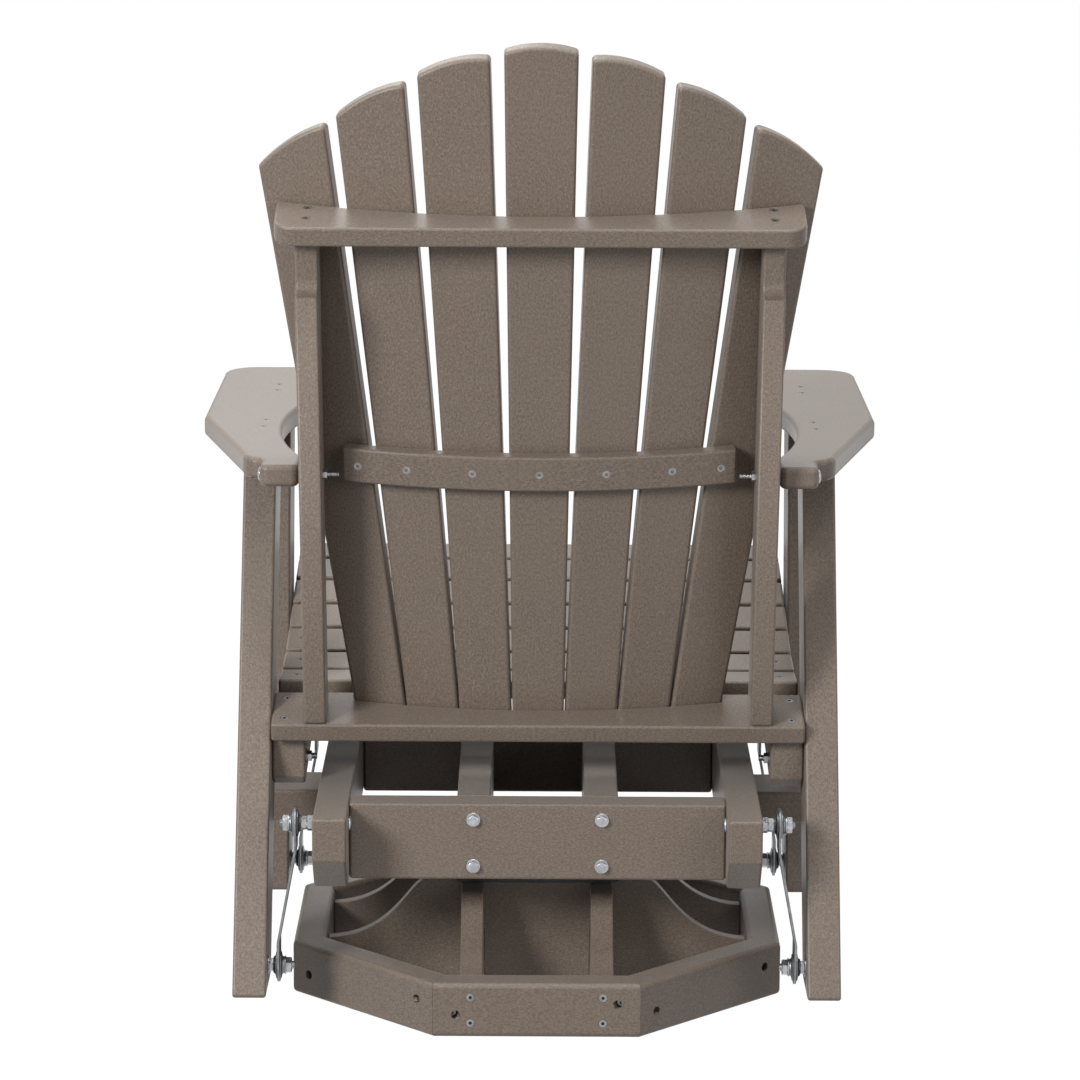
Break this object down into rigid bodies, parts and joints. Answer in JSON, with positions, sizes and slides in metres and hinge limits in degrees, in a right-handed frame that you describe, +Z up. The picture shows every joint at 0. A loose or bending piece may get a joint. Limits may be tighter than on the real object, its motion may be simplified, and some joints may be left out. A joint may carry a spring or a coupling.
{
  "type": "swivel glider chair",
  "caption": "Outdoor slatted armchair in plastic lumber with a fanned back, hung on steel links so that it glides, over a frame that turns on an octagonal floor base.",
  "frame": {"origin": "on the floor under the middle of the overall box", "axes": "+Z up, -Y to the front of the chair, +X to the sitter's left"},
  "size_m": [0.8, 0.8022, 1.1189],
  "materials": {
    "lumber": "matt, finely mottled, with eased edges",
    "zinc_hardware": "zinc plated",
    "link_steel": "zinc plated flat bar, slightly dull"
  },
  "bodies": {
    "base": {"ring_board_left": "lumber", "ring_board_rear_left": "lumber", "ring_board_rear": "lumber", "ring_board_rear_right": "lumber", "ring_board_right": "lumber", "ring_board_front_right": "lumber", "ring_board_front": "lumber", "ring_board_front_left": "lumber", "base_web_left": "lumber", "base_web_right": "lumber", "base_web_rear": "lumber", "base_web_front": "lumber", "bearing_lower_plate": "zinc_hardware"},
    "turntable": {"bearing_upper_plate": "zinc_hardware", "frame_side_rail_left": "lumber", "frame_side_rail_right": "lumber", "frame_inner_rail_left": "lumber", "frame_inner_rail_right": "lumber", "frame_cross_board_rear": "lumber", "frame_cross_board_front": "lumber", "upper_pivot_bolt_rear_left": "zinc_hardware", "upper_pivot_bolt_rear_right": "zinc_hardware", "upper_pivot_bolt_front_left": "zinc_hardware", "upper_pivot_bolt_front_right": "zinc_hardware"},
    "link_rear_left": {"glide_link_rear_left": "link_steel"},
    "link_rear_right": {"glide_link_rear_right": "link_steel"},
    "link_front_left": {"glide_link_front_left": "link_steel"},
    "link_front_right": {"glide_link_front_right": "link_steel"},
    "chair": {"lower_pivot_bolt_rear_left": "zinc_hardware", "lower_pivot_bolt_rear_right": "zinc_hardware", "lower_pivot_bolt_front_left": "zinc_hardware", "lower_pivot_bolt_front_right": "zinc_hardware", "rear_leg_left": "lumber", "rear_leg_right": "lumber", "front_leg_left": "lumber", "front_leg_right": "lumber", "seat_slat_1": "lumber", "seat_slat_2": "lumber", "seat_slat_3": "lumber", "seat_slat_4": "lumber", "seat_slat_5": "lumber", "seat_slat_6": "lumber", "seat_slat_7": "lumber", "seat_apron": "lumber", "seat_rail_left": "lumber", "seat_rail_right": "lumber", "arm_left": "lumber", "arm_right": "lumber", "lower_back_board": "lumber", "top_back_rail": "lumber", "back_batten": "lumber", "back_post_left": "lumber", "back_post_right": "lumber", "back_slat_1": "lumber", "back_slat_2": "lumber", "back_slat_3": "lumber", "back_slat_4": "lumber", "back_slat_5": "lumber", "back_slat_6": "lumber", "back_slat_7": "lumber"}
  },
  "joints": [
    {"name": "swivel", "type": "hinge", "parent": "base", "child": "turntable", "pos_m": [0, 0.09888, 0.1459], "axis": [0, 0, 1], "continuous": true},
    {"name": "glide", "type": "hinge", "parent": "turntable", "child": "link_rear_left", "pos_m": [0.2736, 0.32188, 0.2332], "axis": [1, 0, 0], "range_deg": [-20, 20]},
    {"name": "chair_hang", "type": "hinge", "parent": "link_rear_left", "child": "chair", "pos_m": [0.2935, 0.32188, 0.0659], "axis": [1, 0, 0], "range_deg": [-20, 20]},
    {"name": "link_rear_right_swing", "type": "hinge", "parent": "turntable", "child": "link_rear_right", "pos_m": [-0.2736, 0.32188, 0.2332], "axis": [1, 0, 0], "range_deg": [-20, 20]},
    {"name": "link_front_left_swing", "type": "hinge", "parent": "turntable", "child": "link_front_left", "pos_m": [0.2736, -0.12412, 0.2332], "axis": [1, 0, 0], "range_deg": [-20, 20]},
    {"name": "link_front_right_swing", "type": "hinge", "parent": "turntable", "child": "link_front_right", "pos_m": [-0.2736, -0.12412, 0.2332], "axis": [1, 0, 0], "range_deg": [-20, 20]}
  ],
  "couplings": [
    {"joint": "chair_hang", "follows": "glide", "ratio": -1},
    {"joint": "link_rear_right_swing", "follows": "glide", "ratio": 1},
    {"joint": "link_front_left_swing", "follows": "glide", "ratio": 1},
    {"joint": "link_front_right_swing", "follows": "glide", "ratio": 1}
  ]
}
